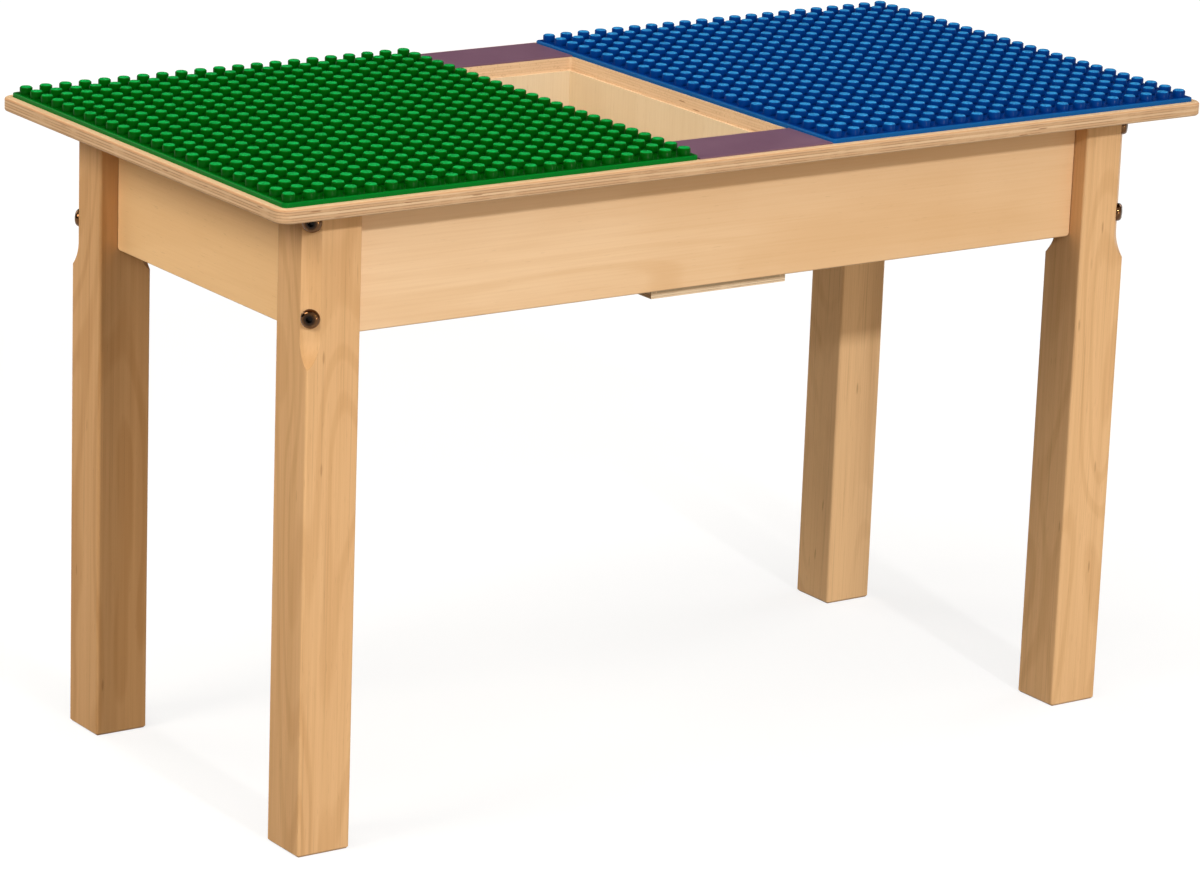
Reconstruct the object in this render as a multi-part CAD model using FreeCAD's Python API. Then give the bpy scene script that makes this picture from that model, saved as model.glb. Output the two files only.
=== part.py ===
import FreeCAD, Part
import math
import os

# A child's play table in millimetres, +Z up.
# The origin is on the floor under the table's middle, +X runs along its length and +Y to its back.
# A plywood top on four bolted legs carries two studded base plates, with a toy bin hung between them.

Vec = FreeCAD.Vector

# Studded base plates: the count and pitch of the studs set the size of the whole table
STUD_PITCH = 16.0
STUDS_ALONG = 21
STUDS_ACROSS = 24
STUD_DIAMETER = 9.4
STUD_HEIGHT = 5.2
STUD_EDGE_CHAMFER = 0.7
SHEET_THICKNESS = 3.0
SHEET_CORNER_RADIUS = 4.0

# Plywood top
TABLE_HEIGHT = 473.0          # floor to the plywood's upper face
TOP_THICKNESS = 10.0
TOP_MARGIN = 6.0              # bare plywood outside the plates
TOP_CORNER_RADIUS = 10.0
TOP_EDGE_ROUND = 1.8
PLATE_GAP = 116.0             # between the two plates
OPENING_SIDE_RIM = 2.0        # bare plywood between a plate and the opening
OPENING_CORNER_RADIUS = 2.5

# Trim strips on the rails in front of and behind the opening
STRIP_THICKNESS = 1.0
STRIP_CLEARANCE = 0.3
STRIP_OPENING_MARGIN = 1.0    # bare plywood between a strip and the opening

# Legs
LEG_WIDTH = 42.0
LEG_INSET_ALONG = 42.0        # from the top's end to the leg's face
LEG_INSET_ACROSS = 32.5       # from the top's long edge to the leg's face
LEG_EDGE_ROUND = 2.0
LEG_FOOT_CHAMFER = 1.5
OUTER_CHAMFER = 10.0
INNER_CHAMFER = 10.5
CHAMFER_LENGTH = 93.0         # straight part of a chamfer, down from the top
CHAMFER_RUNOUT = 20.0         # curved end of a chamfer

# Aprons
APRON_DEPTH = 94.0
APRON_THICKNESS = 10.0
APRON_SETBACK = 14.0          # from the leg's face back to the apron's face
APRON_END_CLEARANCE = 0.3
APRON_CORNER_RADIUS = 3.0     # at the lower ends
APRON_EDGE_ROUND = 1.2

# Corner blocks
BLOCK_THICKNESS = 20.0
BLOCK_HEIGHT = 90.0
BLOCK_LEG_CLEARANCE = 0.5

# Leg bolts and their threaded inserts
BOLT_DIAMETER = 6.0
BOLT_SPACING = 66.5
BOLT_RAISE = 3.0              # the bolts' middle above the aprons' middle
BOLT_HEAD_DIAMETER = 13.6
BOLT_HEAD_HEIGHT = 4.2
BOLT_HEAD_RIM = 0.8           # straight part of the head below its dome
BOLT_SOCKET_WIDTH = 4.0
BOLT_SOCKET_DEPTH = 2.6
BOLT_TIP_CHAMFER = 0.8
BOLT_PAST_INSERT = 1.5
BOLT_HOLE_CLEARANCE = 0.4
INSERT_DIAMETER = 10.0
INSERT_LENGTH = 14.0
THREAD_CLEARANCE = 0.05

# Wood screws through the corner blocks
SCREW_DIAMETER = 4.0
SCREW_HEAD_DIAMETER = 7.6
SCREW_HEAD_HEIGHT = 2.6
SCREW_TIP = 3.0
SCREW_RECESS_WIDTH = 2.4
SCREW_RECESS_DEPTH = 1.4
SCREW_CLEARANCE = 0.1
SCREW_HEAD_CLEARANCE = 0.5
BLOCK_SCREW_GRIP = 6.0        # wood between the head and the apron
BLOCK_SCREW_COVER = 1.5       # apron left beyond the screw's point
BLOCK_SCREW_SPACING = 26.0
BLOCK_SCREW_EDGE = 11.0       # from the block's sharp end to the screw
TOP_SCREW_GRIP = 20.0
TOP_SCREW_COVER = 3.0
TOP_SCREW_SPACING = 26.0

# Toy bin
BIN_WALL = 5.0
BIN_BOTTOM = 4.0
BIN_LEDGE = 2.0               # the walls' inner faces stand this far inside the opening
BIN_DROP = 4.0                # the walls reach this far below the aprons
PIN_DIAMETER = 1.6
PIN_LENGTH = 16.0
PIN_HEAD_DIAMETER = 3.0
PIN_HEAD_HEIGHT = 0.8
PIN_CLEARANCE = 0.05
CORNER_PINS = 3               # in each upright joint of the bin
SIDE_BOTTOM_PINS = 5          # along each long side of the bin's bottom
END_BOTTOM_PINS = 2           # along each end of it
PIN_END_DISTANCE = 14.0

# One overrun serves every cut
OVERRUN = 5.0

# Sizes that follow from the ones above
ROOT_TWO = math.sqrt(2)
PLATE_LENGTH = STUDS_ALONG * STUD_PITCH
PLATE_WIDTH = STUDS_ACROSS * STUD_PITCH
TOP_LENGTH = 2 * PLATE_LENGTH + PLATE_GAP + 2 * TOP_MARGIN
TOP_WIDTH = PLATE_WIDTH + 2 * TOP_MARGIN
UNDERSIDE = TABLE_HEIGHT - TOP_THICKNESS
APRON_LOW = UNDERSIDE - APRON_DEPTH
LEG_X = TOP_LENGTH / 2 - LEG_INSET_ALONG
LEG_Y = TOP_WIDTH / 2 - LEG_INSET_ACROSS
APRON_INNER_Y = LEG_Y - APRON_SETBACK - APRON_THICKNESS
OPENING_LENGTH = PLATE_GAP - 2 * OPENING_SIDE_RIM
OPENING_WIDTH = 2 * (APRON_INNER_Y - BIN_WALL + BIN_LEDGE)
BIN_INNER_X = OPENING_LENGTH / 2 - BIN_LEDGE
BIN_INNER_Y = OPENING_WIDTH / 2 - BIN_LEDGE
BIN_LOW = APRON_LOW - BIN_DROP
BOLT_HEIGHT = UNDERSIDE - APRON_DEPTH / 2 + BOLT_RAISE
# Round a leg, x and y are counted inwards from its outer corner
LEG_SPAN = LEG_WIDTH * ROOT_TWO - (OUTER_CHAMFER + INNER_CHAMFER) / ROOT_TWO   # between the two chamfers
BLOCK_LINE = 2 * LEG_WIDTH - INNER_CHAMFER    # x + y on the inner chamfer, where the block bears
BLOCK_EDGE = APRON_SETBACK + APRON_THICKNESS  # x or y of an apron's inner face
BLOCK_REACH = BLOCK_LINE + BLOCK_THICKNESS * ROOT_TWO - BLOCK_EDGE
DIAGONAL = Vec(1, 1, 0).normalize()
ACROSS = Vec(-1, 1, 0).normalize()


def block(low, high):
    """A box between two corners."""
    size = high - low
    return Part.makeBox(size.x, size.y, size.z, low)


def rounded_wire(length, width, radius, height):
    """A rectangle with round corners, centred on the Z axis at a height."""
    x = length / 2
    y = width / 2
    slope = radius * (1 - 1 / ROOT_TWO)
    edges = []
    for sx, sy in ((1, -1), (1, 1), (-1, 1), (-1, -1)):
        ends = [Vec(sx * x, sy * (y - radius), height), Vec(sx * (x - radius), sy * y, height)]
        if sx * sy < 0:
            ends.reverse()
        middle = Vec(sx * (x - slope), sy * (y - slope), height)
        edges.append(Part.Arc(ends[0], middle, ends[1]).toShape())
    corners = list(edges)
    for this, following in zip(corners, corners[1:] + corners[:1]):
        edges.append(Part.makeLine(this.lastVertex().Point, following.firstVertex().Point))
    return Part.Wire(Part.__sortEdges__(edges))


def rounded_panel(length, width, radius, low, thickness):
    """A flat panel with round corners in plan."""
    return Part.Face(rounded_wire(length, width, radius, low)).extrude(Vec(0, 0, thickness))


def edges_at(shape, height):
    """The edges of a shape that lie level at a height."""
    return [edge for edge in shape.Edges
            if all(abs(vertex.Z - height) < Part.Precision.confusion() for vertex in edge.Vertexes)]


def turned(profile):
    """A solid of revolution round Z, from (radius, height) points that begin and end on the axis."""
    points = [Vec(radius, 0, height) for radius, height in profile]
    face = Part.Face(Part.makePolygon(points + points[:1]))
    return face.revolve(Vec(0, 0, 0), Vec(0, 0, 1), 360)


def socket(sides, across_flats, depth):
    """A prism for a drive recess, from z = 0 up."""
    radius = across_flats / 2 / math.cos(math.pi / sides)
    turn = 2 * math.pi / sides
    points = [Vec(radius * math.cos(turn * i), radius * math.sin(turn * i), 0) for i in range(sides)]
    return Part.Face(Part.makePolygon(points + points[:1])).extrude(Vec(0, 0, depth))


def aim(shape, point, direction):
    """A shape made along +Z from the origin, set at a point along a direction."""
    placed = shape.copy()
    placed.Placement = FreeCAD.Placement(point, FreeCAD.Rotation(Vec(0, 0, 1), direction))
    return placed


def hole(radius, length, point, direction):
    """A drill that begins one overrun before a point and goes a length past it."""
    return Part.makeCylinder(radius, length + OVERRUN, point - direction * OVERRUN, direction)


def at_front_left(shape):
    """A shape made round a leg, with the leg's outer corner as its origin, set at the front left leg."""
    return shape.translated(Vec(-LEG_X, -LEG_Y, 0))


def at_corners(shape):
    """A front left shape and its mirror images at the other three corners."""
    middle = Vec(0, 0, 0)
    right = shape.mirror(middle, Vec(1, 0, 0))
    return {"front_left": shape,
            "front_right": right,
            "back_left": shape.mirror(middle, Vec(0, 1, 0)),
            "back_right": right.mirror(middle, Vec(0, 1, 0))}


def base_plate():
    """A moulded sheet with its grid of studs, centred on the Z axis and lying on the plywood."""
    sheet = rounded_panel(PLATE_LENGTH, PLATE_WIDTH, SHEET_CORNER_RADIUS, TABLE_HEIGHT, SHEET_THICKNESS)
    radius = STUD_DIAMETER / 2
    shoulder = STUD_HEIGHT - STUD_EDGE_CHAMFER
    stud = turned([(0, 0), (radius, 0), (radius, shoulder), (radius - STUD_EDGE_CHAMFER, STUD_HEIGHT),
                   (0, STUD_HEIGHT)])
    studs = []
    for i in range(STUDS_ALONG):
        for j in range(STUDS_ACROSS):
            x = (i + 0.5) * STUD_PITCH - PLATE_LENGTH / 2
            y = (j + 0.5) * STUD_PITCH - PLATE_WIDTH / 2
            studs.append(stud.translated(Vec(x, y, TABLE_HEIGHT + SHEET_THICKNESS)))
    return sheet.multiFuse(studs)


def table_top(top_screw_holes):
    """The plywood panel with its rounded edges, the bin's opening and the pilot holes of the top screws."""
    panel = rounded_panel(TOP_LENGTH, TOP_WIDTH, TOP_CORNER_RADIUS, UNDERSIDE, TOP_THICKNESS)
    panel = panel.makeFillet(TOP_EDGE_ROUND, edges_at(panel, UNDERSIDE) + edges_at(panel, TABLE_HEIGHT))
    opening = rounded_panel(OPENING_LENGTH, OPENING_WIDTH, OPENING_CORNER_RADIUS,
                            UNDERSIDE - OVERRUN, TOP_THICKNESS + 2 * OVERRUN)
    return panel.cut([opening] + top_screw_holes)


def trim_strip():
    """The front strip, between the plates and between the top's border and the opening."""
    half = PLATE_GAP / 2 - STRIP_CLEARANCE
    low = Vec(-half, -TOP_WIDTH / 2 + TOP_MARGIN, TABLE_HEIGHT)
    high = Vec(half, -OPENING_WIDTH / 2 - STRIP_OPENING_MARGIN, TABLE_HEIGHT + STRIP_THICKNESS)
    return block(low, high)


def chamfer_cut(corner, inwards, chamfer):
    """A stopped chamfer on a leg's upright edge: straight down from the top, then a curved run-out."""
    depth = chamfer / ROOT_TWO
    radius = (CHAMFER_RUNOUT ** 2 + depth ** 2) / (2 * depth)
    stop = UNDERSIDE - CHAMFER_LENGTH
    bend = math.asin(CHAMFER_RUNOUT / radius) / 2

    def at(distance, height):
        return corner + inwards * distance + Vec(0, 0, height)

    top = UNDERSIDE + OVERRUN
    middle = at(depth - radius * (1 - math.cos(bend)), stop - radius * math.sin(bend))
    end = at(0, stop - CHAMFER_RUNOUT)
    edges = [Part.Arc(at(depth, stop), middle, end).toShape()]
    outline = [end, at(-OVERRUN, stop - CHAMFER_RUNOUT), at(-OVERRUN, top), at(depth, top), at(depth, stop)]
    edges += [Part.makeLine(a, b) for a, b in zip(outline, outline[1:])]
    side = inwards.cross(Vec(0, 0, 1)) * (chamfer + OVERRUN)
    face = Part.Face(Part.Wire(edges)).translated(side * -1)
    return face.extrude(side * 2)


def leg(bolt_holes):
    """A square leg with eased edges, a stopped chamfer outside and inside, and its two bolt holes."""
    post = block(Vec(0, 0, 0), Vec(LEG_WIDTH, LEG_WIDTH, UNDERSIDE))
    uprights = [edge for edge in post.Edges if edge.BoundBox.ZLength > LEG_WIDTH]
    post = post.makeFillet(LEG_EDGE_ROUND, uprights)
    post = post.makeChamfer(LEG_FOOT_CHAMFER, edges_at(post, 0))
    outer = chamfer_cut(Vec(0, 0, 0), DIAGONAL, OUTER_CHAMFER)
    inner = chamfer_cut(Vec(LEG_WIDTH, LEG_WIDTH, 0), DIAGONAL * -1, INNER_CHAMFER)
    return post.cut([outer, inner] + bolt_holes)


def apron(length):
    """An apron along X with its upper edge under the top, its outer face at y = 0 and its body behind."""
    board = block(Vec(-length / 2, 0, APRON_LOW), Vec(length / 2, APRON_THICKNESS, UNDERSIDE))
    low_edges = edges_at(board, APRON_LOW)
    ends = [edge for edge in low_edges if edge.BoundBox.XLength < length]
    board = board.makeFillet(APRON_CORNER_RADIUS, ends)
    return board.makeFillet(APRON_EDGE_ROUND, edges_at(board, APRON_LOW))


def aprons(block_screw_holes):
    """The four aprons between the legs, with the pilot holes of the block screws."""
    long_length = 2 * (LEG_X - LEG_WIDTH - APRON_END_CLEARANCE)
    short_length = 2 * (LEG_Y - LEG_WIDTH - APRON_END_CLEARANCE)
    front = apron(long_length).translated(Vec(0, -LEG_Y + APRON_SETBACK, 0))
    left = apron(short_length)
    left.rotate(Vec(0, 0, 0), Vec(0, 0, 1), -90)
    left = left.translated(Vec(-LEG_X + APRON_SETBACK, 0, 0))
    whole = {"front": front,
             "back": front.mirror(Vec(0, 0, 0), Vec(0, 1, 0)),
             "left": left,
             "right": left.mirror(Vec(0, 0, 0), Vec(1, 0, 0))}
    return {side: board.cut(block_screw_holes) for side, board in whole.items()}


def corner_block(cuts):
    """The block behind a leg: it bears on the leg's inner chamfer and lies against both aprons."""
    face_near = LEG_WIDTH + BLOCK_LEG_CLEARANCE
    face_far = BLOCK_LINE - face_near
    low = UNDERSIDE - BLOCK_HEIGHT
    outline = [(BLOCK_EDGE, face_near), (face_far, face_near), (face_near, face_far), (face_near, BLOCK_EDGE),
               (BLOCK_REACH, BLOCK_EDGE), (BLOCK_EDGE, BLOCK_REACH)]
    points = [Vec(x, y, low) for x, y in outline]
    whole = Part.Face(Part.makePolygon(points + points[:1])).extrude(Vec(0, 0, BLOCK_HEIGHT))
    return whole.cut(cuts)


def bolt_points():
    """Where the bolt heads bear on the leg's outer chamfer."""
    start = DIAGONAL * (OUTER_CHAMFER / ROOT_TWO)
    return [start + Vec(0, 0, BOLT_HEIGHT + side * BOLT_SPACING / 2) for side in (1, -1)]


def leg_bolt():
    """A button-head bolt along +Z with its head's seat at z = 0."""
    shank = BOLT_DIAMETER / 2
    head = BOLT_HEAD_DIAMETER / 2
    length = LEG_SPAN + INSERT_LENGTH + BOLT_PAST_INSERT
    dome = BOLT_HEAD_HEIGHT - BOLT_HEAD_RIM
    ball = (head ** 2 + dome ** 2) / (2 * dome)
    body = turned([(0, 0), (shank, 0), (shank, length - BOLT_TIP_CHAMFER), (shank - BOLT_TIP_CHAMFER, length),
                   (0, length)])
    rim = Part.makeCylinder(head, BOLT_HEAD_HEIGHT, Vec(0, 0, -BOLT_HEAD_HEIGHT))
    cap = rim.common(Part.makeSphere(ball, Vec(0, 0, ball - BOLT_HEAD_HEIGHT)))
    recess = socket(6, BOLT_SOCKET_WIDTH, BOLT_SOCKET_DEPTH).translated(Vec(0, 0, -BOLT_HEAD_HEIGHT))
    return cap.fuse(body).cut(recess).removeSplitter()


def bolt_insert():
    """A threaded sleeve along +Z from the block's face."""
    sleeve = Part.makeCylinder(INSERT_DIAMETER / 2, INSERT_LENGTH)
    return sleeve.cut(Part.makeCylinder(BOLT_DIAMETER / 2 + THREAD_CLEARANCE, INSERT_LENGTH))


def wood_screw(length):
    """A pan-head screw along +Z with its head's seat at z = 0."""
    shank = SCREW_DIAMETER / 2
    head = SCREW_HEAD_DIAMETER / 2
    crown = -SCREW_HEAD_HEIGHT
    body = turned([(0, crown), (shank, crown), (head, crown / 2), (head, 0), (shank, 0),
                   (shank, length - SCREW_TIP), (0, length)])
    recess = socket(4, SCREW_RECESS_WIDTH, SCREW_RECESS_DEPTH)
    return body.cut(recess.translated(Vec(0, 0, crown)))


def block_screw_places():
    """The seat and direction of each screw from a front left block into its two aprons."""
    seat = BLOCK_EDGE + BLOCK_SCREW_GRIP
    along = BLOCK_REACH - BLOCK_SCREW_EDGE
    places = []
    for side in (1, -1):
        height = BOLT_HEIGHT + side * BLOCK_SCREW_SPACING / 2
        places.append((Vec(along, seat, height), Vec(0, -1, 0)))
        places.append((Vec(seat, along, height), Vec(-1, 0, 0)))
    return places


def top_screw_places():
    """The seat and direction of each screw from a front left block up into the top."""
    middle = (BLOCK_LINE / ROOT_TWO + BLOCK_THICKNESS / 2) * DIAGONAL
    height = Vec(0, 0, UNDERSIDE - TOP_SCREW_GRIP)
    return [(middle + ACROSS * (side * TOP_SCREW_SPACING / 2) + height, Vec(0, 0, 1)) for side in (1, -1)]


def screw_cuts(places, length):
    """The shank hole and the counterbore of each screw."""
    cuts = []
    for seat, direction in places:
        shank = SCREW_DIAMETER / 2 + SCREW_CLEARANCE
        cuts.append(Part.makeCylinder(shank, length + SCREW_CLEARANCE, seat, direction))
        head = SCREW_HEAD_DIAMETER / 2 + SCREW_HEAD_CLEARANCE
        cuts.append(Part.makeCylinder(head, BLOCK_HEIGHT, seat, direction * -1))
    return cuts


def bin_pin():
    """A headed pin along +Z, driven until its head is flush at z = 0."""
    shank = PIN_DIAMETER / 2
    head = PIN_HEAD_DIAMETER / 2
    return turned([(0, 0), (head, 0), (head, PIN_HEAD_HEIGHT), (shank, PIN_HEAD_HEIGHT),
                   (shank, PIN_LENGTH - PIN_DIAMETER), (0, PIN_LENGTH)])


def pin_cut():
    """The hole that a pin makes, a little wider than the pin."""
    shank = PIN_DIAMETER / 2 + PIN_CLEARANCE
    head = PIN_HEAD_DIAMETER / 2 + PIN_CLEARANCE
    seat = PIN_HEAD_HEIGHT + PIN_CLEARANCE
    deep = PIN_LENGTH + PIN_CLEARANCE
    return turned([(0, 0), (head, 0), (head, seat), (shank, seat), (shank, deep), (0, deep)])


def spread(count, low, high):
    """Evenly spaced places from low to high."""
    return [low + (high - low) * i / (count - 1) for i in range(count)]


def corner_pin_places():
    """Pins through the side walls into the ends of the front and back walls."""
    outer = BIN_INNER_X + BIN_WALL
    y = BIN_INNER_Y + BIN_WALL / 2
    heights = spread(CORNER_PINS, BIN_LOW + PIN_END_DISTANCE, UNDERSIDE - PIN_END_DISTANCE)
    return [(Vec(sx * outer, sy * y, z), Vec(-sx, 0, 0)) for sx in (-1, 1) for sy in (-1, 1) for z in heights]


def bottom_pin_places():
    """Pins up through the bottom into the four walls."""
    x = BIN_INNER_X + BIN_WALL / 2
    y = BIN_INNER_Y + BIN_WALL / 2
    low = BIN_LOW - BIN_BOTTOM
    along_side = spread(SIDE_BOTTOM_PINS, -y + PIN_END_DISTANCE, y - PIN_END_DISTANCE)
    along_end = spread(END_BOTTOM_PINS, -x + 2 * PIN_END_DISTANCE, x - 2 * PIN_END_DISTANCE)
    places = [Vec(side * x, v, low) for side in (-1, 1) for v in along_side]
    places += [Vec(u, side * y, low) for side in (-1, 1) for u in along_end]
    return [(place, Vec(0, 0, 1)) for place in places]


def bin_panels():
    """The bin's walls under the opening and its bottom, with the pins' holes."""
    outer_x = BIN_INNER_X + BIN_WALL
    outer_y = BIN_INNER_Y + BIN_WALL
    right = block(Vec(BIN_INNER_X, -outer_y, BIN_LOW), Vec(outer_x, outer_y, UNDERSIDE))
    back = block(Vec(-BIN_INNER_X, BIN_INNER_Y, BIN_LOW), Vec(BIN_INNER_X, outer_y, UNDERSIDE))
    bottom = block(Vec(-outer_x, -outer_y, BIN_LOW - BIN_BOTTOM), Vec(outer_x, outer_y, BIN_LOW))
    whole = {"bin_right_wall": right,
             "bin_left_wall": right.mirror(Vec(0, 0, 0), Vec(1, 0, 0)),
             "bin_back_wall": back,
             "bin_front_wall": back.mirror(Vec(0, 0, 0), Vec(0, 1, 0)),
             "bin_bottom": bottom}
    cuts = [aim(pin_cut(), *place) for place in corner_pin_places() + bottom_pin_places()]
    return {name: panel.cut(cuts) for name, panel in whole.items()}


def corner_nodes(nodes):
    """Adds the legs, blocks and fasteners, and returns the screws' pilot holes for the aprons and the top."""
    block_screw_length = BLOCK_SCREW_GRIP + APRON_THICKNESS - BLOCK_SCREW_COVER
    top_screw_length = TOP_SCREW_GRIP + TOP_THICKNESS - TOP_SCREW_COVER
    bolt_radius = BOLT_DIAMETER / 2 + BOLT_HOLE_CLEARANCE
    insert_points = [point + DIAGONAL * LEG_SPAN for point in bolt_points()]

    leg_holes = [hole(bolt_radius, LEG_SPAN + OVERRUN, point, DIAGONAL) for point in bolt_points()]
    insert_holes = [hole(INSERT_DIAMETER / 2, INSERT_LENGTH, point, DIAGONAL) for point in insert_points]
    tip_holes = [hole(bolt_radius, BLOCK_THICKNESS + OVERRUN, point, DIAGONAL) for point in insert_points]
    block_cuts = screw_cuts(block_screw_places(), block_screw_length)
    top_cuts = screw_cuts(top_screw_places(), top_screw_length)

    per_corner = {
        "leg": leg(leg_holes),
        "corner_block": corner_block(insert_holes + tip_holes + block_cuts + top_cuts),
        "leg_bolts": Part.makeCompound([aim(leg_bolt(), point, DIAGONAL) for point in bolt_points()]),
        "bolt_inserts": Part.makeCompound([aim(bolt_insert(), point, DIAGONAL) for point in insert_points])}
    for name, shape in per_corner.items():
        for corner, placed in at_corners(at_front_left(shape)).items():
            nodes[f"{name}_{corner}"] = placed

    shared = {
        "block_screws": [aim(wood_screw(block_screw_length), *place) for place in block_screw_places()],
        "top_screws": [aim(wood_screw(top_screw_length), *place) for place in top_screw_places()]}
    for name, screws in shared.items():
        corners = at_corners(at_front_left(Part.makeCompound(screws)))
        nodes[name] = Part.makeCompound([solid for group in corners.values() for solid in group.Solids])
    pilots = []
    for cuts in (block_cuts, top_cuts):
        pilots.append(list(at_corners(at_front_left(Part.makeCompound(cuts[::2]))).values()))
    return pilots


def table():
    """Every node of the table by name."""
    nodes = {}
    block_pilots, top_pilots = corner_nodes(nodes)
    nodes["table_top"] = table_top(top_pilots)
    plate = base_plate()
    offset = Vec((PLATE_GAP + PLATE_LENGTH) / 2, 0, 0)
    nodes["green_base_plate"] = plate.translated(offset * -1)
    nodes["blue_base_plate"] = plate.translated(offset)
    nodes["front_trim_strip"] = trim_strip()
    nodes["back_trim_strip"] = trim_strip().mirror(Vec(0, 0, 0), Vec(0, 1, 0))
    for side, board in aprons(block_pilots).items():
        nodes[f"apron_{side}"] = board
    nodes.update(bin_panels())
    nodes["bin_corner_pins"] = Part.makeCompound([aim(bin_pin(), *place) for place in corner_pin_places()])
    nodes["bin_bottom_pins"] = Part.makeCompound([aim(bin_pin(), *place) for place in bottom_pin_places()])
    return nodes


os.makedirs("parts", exist_ok=True)
for node, shape in table().items():
    shape.exportStep(f"parts/{node}.step")
    state = "valid" if shape.isValid() else "NOT VALID"
    print(node, len(shape.Solids), "solids", round(shape.Volume, 1), "mm3", state)
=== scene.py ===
"""Looks of the play table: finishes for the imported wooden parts, and finer base plates and bolts."""

import math

import bmesh
import bpy
from mathutils import Matrix, Vector


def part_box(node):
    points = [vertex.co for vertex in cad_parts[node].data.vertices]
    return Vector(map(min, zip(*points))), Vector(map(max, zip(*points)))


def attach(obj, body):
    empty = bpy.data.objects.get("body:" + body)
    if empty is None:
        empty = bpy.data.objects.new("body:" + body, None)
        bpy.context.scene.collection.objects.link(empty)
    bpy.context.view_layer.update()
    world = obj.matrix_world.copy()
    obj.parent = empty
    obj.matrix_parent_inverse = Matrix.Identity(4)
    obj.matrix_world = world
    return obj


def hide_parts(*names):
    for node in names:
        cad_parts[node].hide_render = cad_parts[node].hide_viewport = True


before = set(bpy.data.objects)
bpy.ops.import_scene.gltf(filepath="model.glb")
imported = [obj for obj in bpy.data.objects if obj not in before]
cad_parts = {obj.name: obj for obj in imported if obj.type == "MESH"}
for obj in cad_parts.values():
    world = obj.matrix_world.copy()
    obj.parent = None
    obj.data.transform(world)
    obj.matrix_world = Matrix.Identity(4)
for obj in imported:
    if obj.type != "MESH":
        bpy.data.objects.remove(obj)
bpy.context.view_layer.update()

bl_info = {
    "name": "Play table",
    "version": (1, 0, 0),
    "blender": (4, 5, 0),
    "location": "3D View > Sidebar > Play table",
    "description": "Dresses the packed play table and sets it on a studio floor",
    "category": "Object",
}

BODY = "root"
CORNERS = ("front_left", "front_right", "back_left", "back_right")
X, Y, Z = range(3)
UP = Vector((0, 0, 1))
PLATE_LOW, PLATE_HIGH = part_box("green_base_plate")
STUDS_ALONG = 21
STUDS_ACROSS = 24
TOP_LAYERS = 5
APRON_LAYERS = 7
BIN_LAYERS = 3

# Steps of the round shapes, and the angles by which edges are told apart
STUD_SIDES = 16
STUD_ROUND_STEPS = 1
SHEET_CORNER_STEPS = 5
SHEET_ROUND_STEPS = 2
BOLT_SIDES = 36
DOME_STEPS = 6
SOCKET_SIDES = 6
JOIN = 1e-5                         # points closer than this are one point
SHEET_SHARP = math.radians(60)      # an edge that turns by more than this stays sharp
BOLT_SHARP = math.radians(50)
SQUARE_TURN = math.radians(80)      # an edge that turns by more than this is a square corner
RING_PAINTED_SHADE = 0.6                   # darkness of the painted shade on the flat round a bolt's socket

# Sockets of a Mix node that mixes colours
MIX_SHARE, MIX_FIRST, MIX_SECOND, MIX_RESULT = 0, 6, 7, 2
RARE_FADE = 0.03                    # how gradually rare marks are told from the other spots

# Moulded plastic, with painted light and shade: distances in metres, and shares of a colour
CROWN_DEPTH = 0.0005                # the crown, painted paler as if lit from above, ends this far under a stud's top
SIDE_FROM = 0.0004                  # the painted shade on a stud's side starts here under its top
SIDE_TO = 0.001
DEEPENS_FROM = 0.0008               # from here painted shade deepens the colour down to the sheet
RIM_WIDTH = (0.0012, 0.0034)        # the painted highlight on the sheet's rim fades between these
RIM_HIGHLIGHT_SHARE = 0.15
# Shares of the body colour that are kept in its painted shade
PAINTED_SHADE_SHARES = (0.3, 0.46, 0.74)
# Painted glints: the crown colour made paler by this gain and lift
PAINTED_GLINT_GAIN = 1.3
PAINTED_GLINT_LIFT = 0.03

# Legs: share of the streaks' colour in each, partly each board's own tone and partly painted light and
# shade, darker on the back-left leg and paler on the back-right one
LEG_TONES_AND_PAINTED_LIGHT = {"front_left": 0.27, "front_right": 0.12, "back_left": 0.51, "back_right": -0.18}

# Studio: shares of the floor's colour, and distances in metres
FLOOR_SHADED_SHARE = 0.27
FLOOR_LIT_SHARE = 0.81
FLOOR_PALE_FROM = 0.9
FLOOR_PALE_TO = 4.0
SKY_TURN = (-0.85, 0.1)             # where the front light fades into the rear one, along the depth
LAMP_TARGET = (0, 0, 0.35)
WARM = (1.0, 0.93, 0.82)

# Camera, fitted to the table's edges in the photo
SENSOR_WIDTH = 36
LENS = 150.2
LENS_SHIFT = (-0.01475, 0.0286)
FAR_CLIP = 100
CAMERA_PLACE = (-2.05342, -2.95553, 1.24465)
CAMERA_AZIMUTH = math.radians(-35.01)
CAMERA_ELEVATION = math.radians(16.34)
CAMERA_ROLL = math.radians(2.16)


def tint(red, green, blue):
    """A colour given as a screen shows it, from 0 to 255, in the linear values that a shader takes."""
    def linear(level):
        share = level / 255
        return share / 12.92 if share <= 0.04045 else ((share + 0.055) / 1.055) ** 2.4
    return (linear(red), linear(green), linear(blue))


def size_value(name, description, default):
    """A length that a user may change."""
    return bpy.props.FloatProperty(name=name, description=description, default=default, min=0,
                                   precision=4, subtype="DISTANCE", unit="LENGTH")


def colour_value(name, description, default):
    """A colour that a user may change."""
    return bpy.props.FloatVectorProperty(name=name, description=description, default=default, size=3,
                                         min=0, max=1, subtype="COLOR")


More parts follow.
